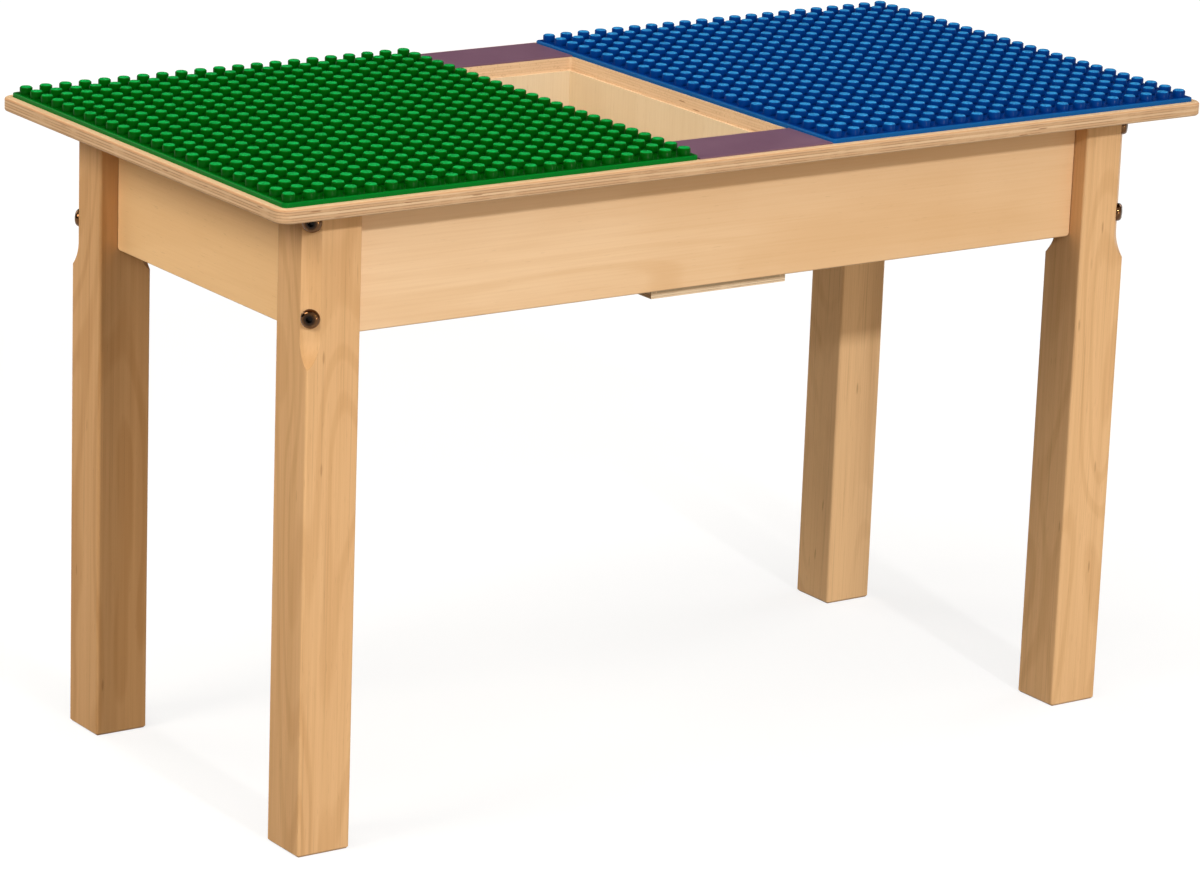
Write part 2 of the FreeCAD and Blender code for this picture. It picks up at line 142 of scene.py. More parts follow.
class PlayTableSizes(bpy.types.PropertyGroup):
    """Sizes of the pieces that are built here, of the sanded place at the top's opening and of the
    studio floor.
    """

    stud_pitch: size_value("Stud pitch", "Distance between two studs' centres",
                           (PLATE_HIGH.x - PLATE_LOW.x) / STUDS_ALONG)
    stud_radius: size_value("Stud radius", "Radius of a stud", 0.0047)
    stud_height: size_value("Stud height", "Height of a stud above the sheet", 0.0052)
    stud_round: size_value("Stud rounding", "Rounding of a stud's upper edge", 0.0009)
    sheet_corner: size_value("Sheet corner", "Radius of a base plate's corners", 0.0038)
    sheet_round: size_value("Sheet rounding", "Rounding of a base plate's upper edge", 0.0007)
    bolt_head_radius: size_value("Bolt head radius", "Radius of a bolt's head", 0.0068)
    bolt_head_height: size_value("Bolt head height", "Height of a bolt's head", 0.0042)
    bolt_rim: size_value("Bolt rim", "Straight part of a bolt's head", 0.0008)
    bolt_flat_radius: size_value("Bolt flat radius", "Radius of the flat on a bolt's head", 0.004)
    bolt_shank_radius: size_value("Bolt shank radius", "Radius of a bolt's shank", 0.003)
    socket_width: size_value("Socket width", "Width of a bolt's socket across its flats", 0.004)
    socket_depth: size_value("Socket depth", "Depth of a bolt's socket", 0.0026)
    sanded_length: size_value("Sanded length", "Length of the sanded place at the top's opening", 0.116)
    sanded_depth: size_value("Sanded depth", "Depth of the sanded place at the top's opening", 0.282)
    floor_width: size_value("Floor width", "Width of the studio floor", 40.0)


class PlayTableColours(bpy.types.PropertyGroup):
    """Colours of the table's finishes and of the studio."""

    # The top's veneer and figure are darker than the aprons': painted shade, offsetting the stronger
    # light on the top's upward face
    top_veneer: colour_value("Top veneer", "Face veneer of the top", tint(210, 178, 140))
    top_figure: colour_value("Top figure", "Darker figure in the top's veneer", tint(198, 158, 114))
    veneer: colour_value("Veneer", "Face veneer of the front and back aprons", tint(255, 224, 186))
    veneer_figure: colour_value("Veneer figure", "Darker figure in that veneer", tint(221, 176, 124))
    side_veneer: colour_value("Side veneer", "Face veneer of the side aprons", tint(254, 214, 162))
    side_figure: colour_value("Side figure", "Darker figure in the side veneer", tint(234, 188, 132))
    # The bin's veneer and figure are paler and greyer than the aprons': painted light, for more and
    # less warm light inside the bin than falls there
    bin_veneer: colour_value("Bin veneer", "Greyer face veneer of the toy bin", tint(224, 205, 174))
    bin_figure: colour_value("Bin figure", "Darker lines in the bin's veneer", tint(196, 168, 128))
    layer_pale: colour_value("Pale layer", "Plywood layer seen along its grain", tint(224, 194, 158))
    layer_dark: colour_value("Dark layer", "Plywood layer seen at its end grain", tint(186, 143, 104))
    glue_line: colour_value("Glue line", "Line between two layers", tint(140, 96, 62))
    # The bin's layers are paler than the other boards': painted light on the bottom's front edge, which
    # lies in the front apron's shadow
    bin_layer_pale: colour_value("Pale bin layer", "Bin's layer along its grain", tint(250, 230, 200))
    bin_layer_dark: colour_value("Dark bin layer", "Bin's layer at its end grain", tint(232, 202, 164))
    birch: colour_value("Birch", "Solid wood of the legs", tint(243, 201, 152))
    birch_streak: colour_value("Birch streak", "Darker streaks in the solid wood", tint(194, 146, 95))
    fleck: colour_value("Fleck", "Small dark marks in the wood", tint(132, 84, 46))
    green: colour_value("Green", "Moulded green plastic", tint(0, 88, 8))
    # The crowns are the studs' tops painted paler, as if lit from above, with some real rubbing
    green_crown_painted_light: colour_value("Green crown", "Rubbed tops of the green studs", tint(10, 172, 80))
    blue: colour_value("Blue", "Moulded blue plastic", tint(0, 58, 124))
    blue_crown_painted_light: colour_value("Blue crown", "Rubbed tops of the blue studs", tint(50, 153, 217))
    purple: colour_value("Purple", "Laminate of the two strips", tint(105, 73, 93))
    purple_worn: colour_value("Worn purple", "Rubbed places on the strips", tint(119, 88, 106))
    bronze: colour_value("Bronze", "Dark metal of the bolts", tint(92, 62, 36))
    bronze_rubbed: colour_value("Rubbed bronze", "Rubbed places on the bolts", tint(130, 94, 56))
    # Painted shade: the bolts' sockets and the flat round them are darkened towards this colour
    bronze_painted_shade: colour_value("Bronze recess", "Black metal in a bolt's socket", tint(20, 16, 14))
    zinc: colour_value("Zinc", "Plated steel of the screws, inserts and pins", tint(176, 174, 168))
    zinc_dull: colour_value("Dull zinc", "Dull places on the plated steel", tint(128, 126, 120))
    floor: colour_value("Floor", "Pale studio floor", tint(250, 250, 250))
    floor_bounce: colour_value("Floor bounce", "Light that the floor gives back", tint(98, 84, 64))
    sky: colour_value("Sky", "Even light in front of the table", (0.89, 0.81, 0.70))
    sky_rear: colour_value("Rear sky", "Even light behind the table", (0.04, 0.04, 0.04))


class Tone:
    """An output socket of a finish. Python's operators on it add Math nodes."""

    def __init__(self, finish, socket):
        self.finish = finish
        self.socket = socket

    def out(self, name):
        """Another output of the same node."""
        return Tone(self.finish, self.socket.node.outputs[name])

    def math(self, operation, *terms):
        return self.finish.node("ShaderNodeMath", {"operation": operation}, dict(enumerate(terms)))

    def __add__(self, other):
        return self.math("ADD", self, other)

    __radd__ = __add__

    def __sub__(self, other):
        return self.math("SUBTRACT", self, other)

    def __rsub__(self, other):
        return self.math("SUBTRACT", other, self)

    def __mul__(self, other):
        return self.math("MULTIPLY", self, other)

    __rmul__ = __mul__

    def __mod__(self, other):
        return self.math("FLOORED_MODULO", self, other)

    def __abs__(self):
        return self.math("ABSOLUTE", self)

    def floor(self):
        return self.math("FLOOR", self)

    def nearest(self):
        return self.math("ROUND", self)

    def wave(self):
        return self.math("SINE", self)

    def least(self, other):
        return self.math("MINIMUM", self, other)

    def most(self, other):
        return self.math("MAXIMUM", self, other)


class Finish:
    """A node tree and the one method that adds its nodes."""

    def __init__(self, tree):
        self.tree = tree

    def node(self, kind, settings=None, sockets=None, output=0):
        """Adds a node and gives its output, if it has one: settings first, then its sockets' values."""
        made = self.tree.nodes.new(kind)
        for name, value in (settings or {}).items():
            setattr(made, name, value)
        for name, value in (sockets or {}).items():
            if isinstance(value, Tone):
                self.tree.links.new(value.socket, made.inputs[name])
            elif made.inputs[name].type == "RGBA" and len(value) == 3:
                made.inputs[name].default_value = (*value, 1)
            else:
                made.inputs[name].default_value = value
        return Tone(self, made.outputs[output]) if made.outputs else None

    def place(self):
        return self.node("ShaderNodeTexCoord", output="Object")

    def axes(self, output="Object"):
        """The three parts of the place, or of the normal, as values."""
        whole = self.node("ShaderNodeTexCoord", output=output)
        first = self.node("ShaderNodeSeparateXYZ", None, {"Vector": whole})
        return [first.out(name) for name in "XYZ"]

    def noise(self, scale, shift=(0, 0, 0), detail=2.0, roughness=0.5, warp=0.0):
        """Noise from 0 to 1 whose scale along each axis is given per metre."""
        where = self.node("ShaderNodeMapping", None,
                          {"Vector": self.place(), "Location": shift, "Scale": scale})
        return self.node("ShaderNodeTexNoise", None, {"Vector": where, "Scale": 1.0, "Detail": detail,
                                                      "Roughness": roughness, "Distortion": warp})

    def marks(self, first, second, near, far, rare):
        """Marks on a plane of two values: 1 at a mark, fading from near to far, on a share of spots."""
        where = self.node("ShaderNodeCombineXYZ", None, {"X": first, "Y": second})
        spot = self.node("ShaderNodeTexVoronoi", {"voronoi_dimensions": "2D"},
                         {"Vector": where, "Scale": 1.0})
        chance = self.node("ShaderNodeSeparateColor", None, {"Color": spot.out("Color")})
        chosen = self.between(chance, 1 - rare, 1 - rare + RARE_FADE)
        return (1 - self.between(spot, near, far)) * chosen

    def between(self, value, low, high):
        """A smooth step from 0 at low to 1 at high."""
        return self.node("ShaderNodeMapRange", {"interpolation_type": "SMOOTHSTEP"},
                         {"Value": value, "From Min": low, "From Max": high})

    def mix(self, share, first, second):
        """A colour between two colours."""
        return self.node("ShaderNodeMix", {"data_type": "RGBA"},
                         {MIX_SHARE: share, MIX_FIRST: first, MIX_SECOND: second}, output=MIX_RESULT)

    def bump(self, height, strength, distance):
        return self.node("ShaderNodeBump", None,
                         {"Height": height, "Strength": strength, "Distance": distance})


def blank_finish(owner):
    """The emptied node tree of a material or a world."""
    owner.use_nodes = True
    owner.node_tree.nodes.clear()
    return Finish(owner.node_tree)


def new_finish(name, sockets_of):
    """A material whose shader's sockets come from sockets_of, which is given the finish."""
    material = bpy.data.materials.new(name)
    finish = blank_finish(material)
    shader = finish.node("ShaderNodeBsdfPrincipled", None, sockets_of(finish))
    finish.node("ShaderNodeOutputMaterial", None, {"Surface": shader})
    return material


def along(axis, long, fine):
    """Scales that stretch a pattern along one axis."""
    return tuple(long if k == axis else fine for k in range(3))


def plywood(name, node, through, grain, layers, shift, face_colours, edge_colours,
            figured=0.18, painted_falloff=0.0, sanded=(0, 0)):
    """Birch plywood of one board, as a solid pattern: layers stack along an axis, their grain crossed.

    The face veneer has a share of figured rings and turns darker along the grain by a given share,
    which is painted light: the light's fall-off along the board. Within the half-lengths of sanded, at
    the top's opening, the layers are paler, plainer and rougher. Edges that face upwards are darkened
    as painted shade.
    """
    colours = bpy.context.scene.play_table_colours
    plain, darker = face_colours
    layer_pale, layer_dark = edge_colours
    low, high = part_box(node)
    across = 3 - through - grain

    def sockets(finish):
        where = finish.axes()
        normal = [abs(part) for part in finish.axes("Normal")]
        wander = finish.noise(along(through, 0, 9), shift, detail=1)
        level = (where[through] - low[through]) * (layers / (high[through] - low[through]))
        stack = level + (wander - 0.5) * 0.5
        index = stack.floor().most(0).least(layers - 1)
        turned = index % 2
        chance = finish.node("ShaderNodeTexWhiteNoise", {"noise_dimensions": "1D"},
                             {"W": index + shift[0]})
        glue_gap = abs(stack - stack.nearest().most(1).least(layers - 1))
        broken = finish.noise(along(through, 60, 45), shift, detail=2)
        glue = (1 - finish.between(glue_gap, 0.06, 0.22)) * finish.between(broken, 0.32, 0.58)
        rim = where[grain] + where[across]
        voids = finish.marks(rim * 55 + shift[1], stack, 0.16, 0.3, 0.035)
        specks = finish.between(finish.noise((760, 760, 760), shift, detail=1), 0.62, 0.72)

        fibre_main = finish.noise(along(grain, 11, 640), shift, detail=3)
        fibre_cross = finish.noise(along(across, 11, 640), shift, detail=3)
        fibre = fibre_main + turned * (fibre_cross - fibre_main)
        end = normal[grain] + turned * (normal[across] - normal[grain])
        face = finish.between(normal[through], 0.72, 0.97)

        field = finish.noise(along(grain, 1.6, 11), shift, detail=1, warp=0.2)
        rings = finish.between((field * 62).wave(), 0.1, 1.0)
        figure = rings * finish.between(finish.noise(along(grain, 3, 11), shift), 0.4, 0.7)
        blotch = finish.between(finish.noise(along(grain, 6, 24), shift, detail=3), 0.3, 0.75)
        cloud = finish.between(finish.noise((5, 5, 5), shift, detail=2), 0.35, 0.65)
        pores = finish.between(finish.noise(along(grain, 85, 1150), shift, detail=1), 0.68, 0.78)
        knots = finish.marks(where[grain] * 9 + shift[2], where[across] * 9, 0.008, 0.028, 0.3)
        # Painted light: the veneer darkens along the board, standing for the light's fall-off
        painted_falloff_share = (where[grain] - low[grain]) * (painted_falloff / (high[grain] - low[grain]))
        veneer = finish.mix(figure * figured + blotch * 0.18 + cloud * 0.15 + painted_falloff_share, plain, darker)
        veneer = finish.mix(finish.between(fibre_main, 0.35, 0.8) * 0.2, veneer, darker)
        veneer = finish.mix((pores * 0.13).most(knots * 0.22), veneer, colours.fleck)

        inside = (sanded[0] - abs(where[X])).least(sanded[1] - abs(where[Y]))
        opening = finish.between(inside, 0, 0.001)
        clear = 1 - opening * 0.7
        # Painted shade: edges that face upwards are darkened towards the dark layer colour
        upper = finish.between(finish.axes("Normal")[Z], 0.05, 0.5)
        ends = (end * 0.36 + chance * 0.22) * clear + 0.06
        layer = finish.mix(ends + upper * 0.75, layer_pale, layer_dark)
        layer = finish.mix(finish.between(fibre, 0.45, 0.75) * 0.3, layer, layer_dark)
        rough = specks * (0.12 + opening * 0.2)
        dark = (glue * 0.6 * clear).most(voids * 0.75).most(rough)
        layer = finish.mix(dark, layer, colours.glue_line)
        height = fibre * 0.7 - glue * 0.6 - voids * (1 - face) - pores * 0.5 * face
        return {"Base Color": finish.mix(face, layer, veneer),
                "Specular IOR Level": 0.08,
                "Roughness": 0.44 + (fibre - 0.5) * 0.16 + end * 0.1,
                "Normal": finish.bump(height, 0.25, 0.0003)}

    return new_finish(name, sockets)


def solid_birch(name, shift, deeper):
    """Solid birch with its grain upright: changes of tone, faint arches, fine streaks, short flecks."""
    colours = bpy.context.scene.play_table_colours

    def sockets(finish):
        where = finish.axes()
        broad = finish.noise((24, 24, 1.6), shift, detail=2, warp=0.3)
        streak = finish.noise((240, 240, 2.6), shift, detail=3)
        fibre = finish.noise((950, 950, 13), shift, detail=2)
        lines = finish.between(finish.noise((560, 560, 5.5), shift, detail=1), 0.62, 0.72)
        field = finish.noise((15, 15, 3.4), shift, detail=1, warp=0.3)
        arches = finish.between((field * 70).wave(), 0.0, 1.0)
        round_leg = where[X] * 120 - where[Y] * 137
        up_leg = where[Z] * 24 + where[Y] * 31
        dashes = finish.marks(round_leg + shift[0], up_leg, 0.05, 0.15, 0.05)
        pores = finish.between(finish.noise((1200, 1200, 75), shift, detail=1), 0.66, 0.78)
        tone = finish.between(broad * 0.6 + streak * 0.4, 0.34, 0.68)
        darker = tone * 0.26 + arches * 0.16 + deeper
        colour = finish.mix(darker, colours.birch, colours.birch_streak)
        colour = finish.mix(finish.between(fibre, 0.4, 0.8) * 0.2, colour, colours.birch_streak)
        colour = finish.mix(lines * 0.14, colour, colours.fleck)
        colour = finish.mix((dashes * 0.34).most(pores * 0.16), colour, colours.fleck)
        cut = finish.between(abs(finish.axes("Normal")[Z]), 0.04, 0.5)
        colour = finish.mix(cut * 0.6, colour, colours.birch_streak)
        return {"Base Color": colour,
                "Specular IOR Level": 0.06,
                "Roughness": 0.42 + (streak - 0.5) * 0.14 + dashes * 0.15,
                "Normal": finish.bump(fibre * 0.6 + streak * 0.4 - dashes * 0.6, 0.22, 0.0003)}

    return new_finish(name, sockets)


def moulded_plastic(name, node, body, crown, shift):
    """Moulded plastic with painted light and shade: the studs' tops painted paler as if lit from above,
    painted glints, a painted highlight on the sheet's rim, painted shade on the studs' sides and
    between them; rubbed and pebbled.
    """
    low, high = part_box(node)
    sheet_top = high.z - bpy.context.scene.play_table_sizes.stud_height

    def sockets(finish):
        where = finish.axes()
        on_top = finish.between(where[Z], high.z - CROWN_DEPTH, high.z)
        # Painted shade: masks for the studs' sides and for the sheet between them
        gap_shade = 1 - finish.between(where[Z], sheet_top, high.z - DEEPENS_FROM)
        side_shade = 1 - finish.between(where[Z], high.z - SIDE_TO, high.z - SIDE_FROM)
        to_side = (where[X] - low.x).least(high.x - where[X])
        to_end = (where[Y] - low.y).least(high.y - where[Y])
        inside = finish.between(to_side.least(to_end), *RIM_WIDTH)
        cloud = finish.noise((24, 24, 24), shift, detail=3)
        rubbed = finish.noise((130, 130, 130), shift, detail=4, roughness=0.65)
        rub = finish.between(rubbed, 0.35, 0.7)
        spots = finish.between(finish.noise((380, 380, 380), shift, detail=2), 0.48, 0.64)
        pebble = finish.noise((2300, 2300, 2300), shift, detail=1)
        body_in_shade = tuple(part * share for part, share in zip(body, PAINTED_SHADE_SHARES))
        painted_glint_colour = tuple(min(part * PAINTED_GLINT_GAIN + PAINTED_GLINT_LIFT, 1) for part in crown)
        # Painted light: the studs' tops take the paler crown colour, more where rubbed and at random
        # spots
        colour = finish.mix(on_top * (0.53 + rub * 0.2 + spots * 0.35), body, crown)
        # Painted highlight: glints painted at random on the studs' tops
        painted_glints = finish.between(finish.noise((620, 620, 620), shift, detail=1), 0.6, 0.68)
        colour = finish.mix(on_top * painted_glints * 0.6, colour, painted_glint_colour)
        # Painted highlight: the sheet's rim, off the studs, is made paler towards the crown colour
        colour = finish.mix((1 - inside) * (1 - on_top) * RIM_HIGHLIGHT_SHARE, colour, crown)
        # Painted shade on the studs' sides and between them, away from the rim, plus random cloudy
        # darkening
        shaded = (side_shade * 0.38 + gap_shade * 0.27) * inside + finish.between(cloud, 0.4, 0.8) * 0.12
        colour = finish.mix(shaded, colour, body_in_shade)
        return {"Base Color": colour,
                "Specular IOR Level": 0.04,
                "Coat Weight": 0.02 + on_top * 0.14,
                "Coat Roughness": 0.1,
                "Roughness": 0.15 + rub * 0.07,
                "Normal": finish.bump(pebble + rub * 0.4, 0.08, 0.0002)}

    return new_finish(name, sockets)


def satin_laminate(name, shift):
    """Satin laminate with a fine pebbled surface and rubbed places."""
    colours = bpy.context.scene.play_table_colours

    def sockets(finish):
        cloud = finish.noise((22, 22, 22), shift, detail=4, roughness=0.6)
        speck = finish.noise((900, 900, 900), shift, detail=2)
        scratch = finish.between(finish.noise((40, 900, 40), shift, detail=2), 0.68, 0.8)
        worn = finish.between(cloud, 0.42, 0.75) * 0.5 + finish.between(speck, 0.55, 0.8) * 0.3
        return {"Base Color": finish.mix(worn + scratch * 0.25, colours.purple, colours.purple_worn),
                "Roughness": 0.46 + (cloud - 0.5) * 0.2 - scratch * 0.08,
                "Normal": finish.bump(speck - scratch * 0.4, 0.15, 0.0001)}

    return new_finish(name, sockets)


def plated_metal(name, body, rubbed, painted_recess_shade, smooth, lacquer, shift):
    """Metal with a plated or blackened skin, paler where it is rubbed and darker in its recesses, which
    is painted shade.
    """

    def sockets(finish):
        cloud = finish.noise((420, 420, 420), shift, detail=4, roughness=0.6)
        grit = finish.noise((3800, 3800, 3800), shift, detail=2)
        worn = finish.between(cloud, 0.5, 0.72)
        in_painted_shade = finish.node("ShaderNodeAttribute", {"attribute_name": "painted_recess_shade"}, output="Fac")
        colour = finish.mix(worn * 0.55, body, rubbed)
        return {"Base Color": finish.mix(in_painted_shade, colour, painted_recess_shade),
                "Metallic": 1 - worn * 0.08,
                "Roughness": smooth + (grit - 0.5) * 0.1 - worn * 0.04 + in_painted_shade * 0.3,
                "Coat Weight": lacquer,
                "Coat Roughness": 0.06,
                "Normal": finish.bump(grit * 0.5 + cloud * 0.5, 0.08, 0.0001)}

    return new_finish(name, sockets)


def dress(node, material):
    """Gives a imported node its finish."""
    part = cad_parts[node]
    if not part.material_slots:
        raise RuntimeError(node + " has no material slot")
    for slot in part.material_slots:
        slot.material = material


def new_piece(name, shape, material, stands_for):
    """An object from a bmesh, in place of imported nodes."""
    bmesh.ops.recalc_face_normals(shape, faces=shape.faces)
    mesh = bpy.data.meshes.new(name)
    shape.to_mesh(mesh)
    shape.free()
    mesh.materials.append(material)
    piece = bpy.data.objects.new(name, mesh)
    bpy.context.scene.collection.objects.link(piece)
    even = piece.modifiers.new("Even shading", "WEIGHTED_NORMAL")
    even.keep_sharp = True
    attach(piece, BODY)
    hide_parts(*stands_for)


def soften(shape, sharp_angle):
    """Smooth shading, with the edges that turn by more than an angle kept sharp."""
    for face in shape.faces:
        face.smooth = True
    for edge in shape.edges:
        edge.smooth = not edge.is_manifold or edge.calc_face_angle() < sharp_angle


def polygon(shape, corners, radius, cuts, place):
    """The edges of a polygon, each cut into shorter ones."""
    made = bmesh.ops.create_circle(shape, segments=corners, radius=radius, matrix=place)
    sides = list(dict.fromkeys(edge for vert in made["verts"] for edge in vert.link_edges))
    bmesh.ops.subdivide_edges(shape, edges=sides, cuts=cuts)


def round_edges(shape, edges, radius, steps):
    """Rounds edges with a number of steps."""
    bmesh.ops.bevel(shape, geom=edges, offset=radius, offset_type="OFFSET", segments=steps, profile=0.5,
                    affect="EDGES", material=-1)


def stud_tile(sizes):
    """One stud on its square of sheet."""
    shape = bmesh.new()
    turn = Matrix.Rotation(math.radians(45), 4, "Z")
    polygon(shape, 4, sizes.stud_pitch / math.sqrt(2), STUD_SIDES // 4 - 1, turn)
    border = shape.edges[:]
    bmesh.ops.create_circle(shape, segments=STUD_SIDES, radius=sizes.stud_radius)
    foot = [edge for edge in shape.edges if edge not in border]
    # The stud's face comes after the bridge, because with it there the bridge runs the wrong way round
    bmesh.ops.bridge_loops(shape, edges=border + foot)
    cap = bmesh.ops.edgeloop_fill(shape, edges=foot)["faces"][0]
    raised = bmesh.ops.extrude_discrete_faces(shape, faces=[cap])["faces"][0]
    bmesh.ops.translate(shape, verts=raised.verts, vec=UP * sizes.stud_height)
    round_edges(shape, raised.edges, sizes.stud_round, STUD_ROUND_STEPS)
    return shape


def verts_of(parts):
    """The vertices among the parts of a mesh."""
    return [part for part in parts if isinstance(part, bmesh.types.BMVert)]


def repeat(shape, count, step):
    """Copies all of a shape along a step, and joins the copies where they touch."""
    first = shape.verts[:] + shape.edges[:] + shape.faces[:]
    for k in range(1, count):
        copied = bmesh.ops.duplicate(shape, geom=first)["geom"]
        bmesh.ops.translate(shape, verts=verts_of(copied), vec=step * k)
    bmesh.ops.remove_doubles(shape, verts=shape.verts, dist=JOIN)


def base_plate(sizes, node):
    """A studded sheet: a stud's tile repeated, its border turned down, its corners and rim rounded."""
    low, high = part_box(node)
    sheet_top = high.z - sizes.stud_height
    thickness = sheet_top - low.z
    shape = stud_tile(sizes)
    repeat(shape, STUDS_ALONG, Vector((sizes.stud_pitch, 0, 0)))
    repeat(shape, STUDS_ACROSS, Vector((0, sizes.stud_pitch, 0)))
    start = Vector((low.x + sizes.stud_pitch / 2, low.y + sizes.stud_pitch / 2, sheet_top))
    bmesh.ops.translate(shape, verts=shape.verts, vec=start)
    rim = [edge for edge in shape.edges if edge.is_boundary]
    wall = bmesh.ops.extrude_edge_only(shape, edges=rim)["geom"]
    bmesh.ops.translate(shape, verts=verts_of(wall), vec=UP * -thickness)
    bmesh.ops.edgeloop_fill(shape, edges=[edge for edge in shape.edges if edge.is_boundary])
    bmesh.ops.recalc_face_normals(shape, faces=shape.faces)
    corners = [edge for edge in shape.edges
               if abs(edge.verts[0].co.z - edge.verts[1].co.z) > thickness / 2
               and edge.calc_face_angle(0) > SQUARE_TURN
               and max(vert.co.z for vert in edge.verts) < sheet_top + JOIN]
    round_edges(shape, corners, sizes.sheet_corner, SHEET_CORNER_STEPS)
    upper = [edge for edge in shape.edges
             if edge.is_manifold and all(abs(vert.co.z - sheet_top) < JOIN for vert in edge.verts)
             and min(face.calc_center_median().z for face in edge.link_faces) < sheet_top - JOIN]
    round_edges(shape, upper, sizes.sheet_round, SHEET_ROUND_STEPS)
    soften(shape, SHEET_SHARP)
    return shape


def button_bolt(sizes, length):
    """A button-head bolt along -Z with its head's seat at z = 0."""
    shape = bmesh.new()
    painted_recess_shade = shape.verts.layers.float.new("painted_recess_shade")
    dome = sizes.bolt_head_height - sizes.bolt_rim
    flat = sizes.bolt_flat_radius
    reach = sizes.bolt_head_radius - flat
    profile = [(0, -length), (sizes.bolt_shank_radius, -length), (sizes.bolt_shank_radius, 0),
               (sizes.bolt_head_radius, 0), (sizes.bolt_head_radius, sizes.bolt_rim)]
    for k in range(1, DOME_STEPS + 1):
        angle = math.radians(90) * k / DOME_STEPS
        profile.append((flat + reach * math.cos(angle), sizes.bolt_rim + dome * math.sin(angle)))
    points = [shape.verts.new((radius, 0, height)) for radius, height in profile]
    line = [shape.edges.new(pair) for pair in zip(points, points[1:])]
    bmesh.ops.spin(shape, geom=points + line, cent=(0, 0, 0), axis=UP, angle=math.tau, steps=BOLT_SIDES,
                   use_merge=True)
    bmesh.ops.remove_doubles(shape, verts=shape.verts, dist=JOIN)
    flat_edge = [edge for edge in shape.edges if edge.is_boundary]
    top = Matrix.Translation(UP * sizes.bolt_head_height)
    corner = sizes.socket_width / math.sqrt(3)
    polygon(shape, SOCKET_SIDES, corner, BOLT_SIDES // SOCKET_SIDES - 1, top)
    mouth = [edge for edge in shape.edges if edge.is_wire]
    bmesh.ops.bridge_loops(shape, edges=flat_edge + mouth)
    wall = bmesh.ops.extrude_edge_only(shape, edges=mouth)["geom"]
    bmesh.ops.translate(shape, verts=verts_of(wall), vec=UP * -sizes.socket_depth)
    bmesh.ops.edgeloop_fill(shape, edges=[edge for edge in shape.edges if edge.is_boundary])
    # Painted shade: the socket is marked wholly dark and the flat round it partly dark
    for vert in shape.verts:
        from_axis = vert.co.xy.length
        if vert.co.z > 0 and from_axis < flat + JOIN:
            vert[painted_recess_shade] = 1 if from_axis < corner + JOIN else RING_PAINTED_SHADE
    return shape


def bolt_places(sizes, node):
    """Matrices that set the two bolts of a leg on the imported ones, and their shanks' length."""
    low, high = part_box(node)
    middle = (low + high) / 2
    outward = Vector((math.copysign(1, middle.x), math.copysign(1, middle.y), 0)).normalized()
    aside = UP.cross(outward)
    points = [vert.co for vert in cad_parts[node].data.vertices]
    depths = [point.dot(outward) for point in points]
    sides = [point.dot(aside) for point in points]
    reach = max(depths)
    offset = (max(sides) + min(sides)) / 2
    turn = UP.rotation_difference(outward).to_matrix().to_4x4()
    places = []
    for height in (low.z + sizes.bolt_head_radius, high.z - sizes.bolt_head_radius):
        seat = outward * (reach - sizes.bolt_head_height) + aside * offset + UP * height
        places.append(Matrix.Translation(seat) @ turn)
    return places, reach - min(depths) - sizes.bolt_head_height


class PLAYTABLE_OT_top(bpy.types.Operator):
    """Dress the plywood top"""

    bl_idname = "playtable.top"
    bl_label = "Top"

    def execute(self, context):
        colours = context.scene.play_table_colours
        face = (colours.top_veneer, colours.top_figure)
        edge = (colours.layer_pale, colours.layer_dark)
        sizes = context.scene.play_table_sizes
        sanded = (sizes.sanded_length / 2, sizes.sanded_depth / 2)
        finish = plywood("birch_plywood_top", "table_top", Z, X, TOP_LAYERS, (3.1, 0.4, 7.7),
                         face, edge, sanded=sanded)
        dress("table_top", finish)
        return {"FINISHED"}


class PLAYTABLE_OT_aprons(bpy.types.Operator):
    """Dress the four aprons"""

    bl_idname = "playtable.aprons"
    bl_label = "Aprons"

    def execute(self, context):
        colours = context.scene.play_table_colours
        long_face = (colours.veneer, colours.veneer_figure)
        side_face = (colours.side_veneer, colours.side_figure)
        edge = (colours.layer_pale, colours.layer_dark)
        # Each apron's last number is its painted fall-off of the light along the board
        aprons = (("front", Y, X, (1.3, 5.2, 0.9), long_face, 0.52),
                  ("back", Y, X, (8.4, 2.6, 4.1), long_face, 0.3),
                  ("left", X, Y, (6.2, 9.7, 2.3), side_face, 0.05),
                  ("right", X, Y, (4.8, 1.1, 6.6), side_face, 0.15))
        for side, through, grain, shift, face, painted_falloff in aprons:
            node = "apron_" + side
            finish = plywood("birch_plywood_" + node, node, through, grain, APRON_LAYERS, shift,
                             face, edge, painted_falloff=painted_falloff)
            dress(node, finish)
        return {"FINISHED"}


class PLAYTABLE_OT_legs(bpy.types.Operator):
    """Dress the legs and the blocks behind them"""

    bl_idname = "playtable.legs"
    bl_label = "Legs and blocks"

    def execute(self, context):
        for number, corner in enumerate(CORNERS):
            shift = (2.7 + number * 3.3, 1.9 + number, 5.3 - number)
            material = solid_birch("solid_birch_" + corner, shift, LEG_TONES_AND_PAINTED_LIGHT[corner])
            dress("leg_" + corner, material)
            dress("corner_block_" + corner, material)
        return {"FINISHED"}


class PLAYTABLE_OT_bin(bpy.types.Operator):
    """Dress the toy bin's walls and bottom"""

    bl_idname = "playtable.bin"
    bl_label = "Toy bin"

    def execute(self, context):
        colours = context.scene.play_table_colours
        face = (colours.bin_veneer, colours.bin_figure)
        edge = (colours.bin_layer_pale, colours.bin_layer_dark)
        boards = (("left_wall", X, Z, (2.2, 7.1, 3.6)),
                  ("right_wall", X, Z, (9.3, 3.4, 1.7)),
                  ("front_wall", Y, Z, (5.5, 8.2, 0.3)),
                  ("back_wall", Y, Z, (7.6, 0.8, 9.1)),
                  ("bottom", Z, Y, (0.6, 4.9, 8.8)))
        for board, through, grain, shift in boards:
            node = "bin_" + board
            finish = plywood("birch_plywood_" + node, node, through, grain, BIN_LAYERS, shift,
                             face, edge, figured=0.0)
            dress(node, finish)
        return {"FINISHED"}


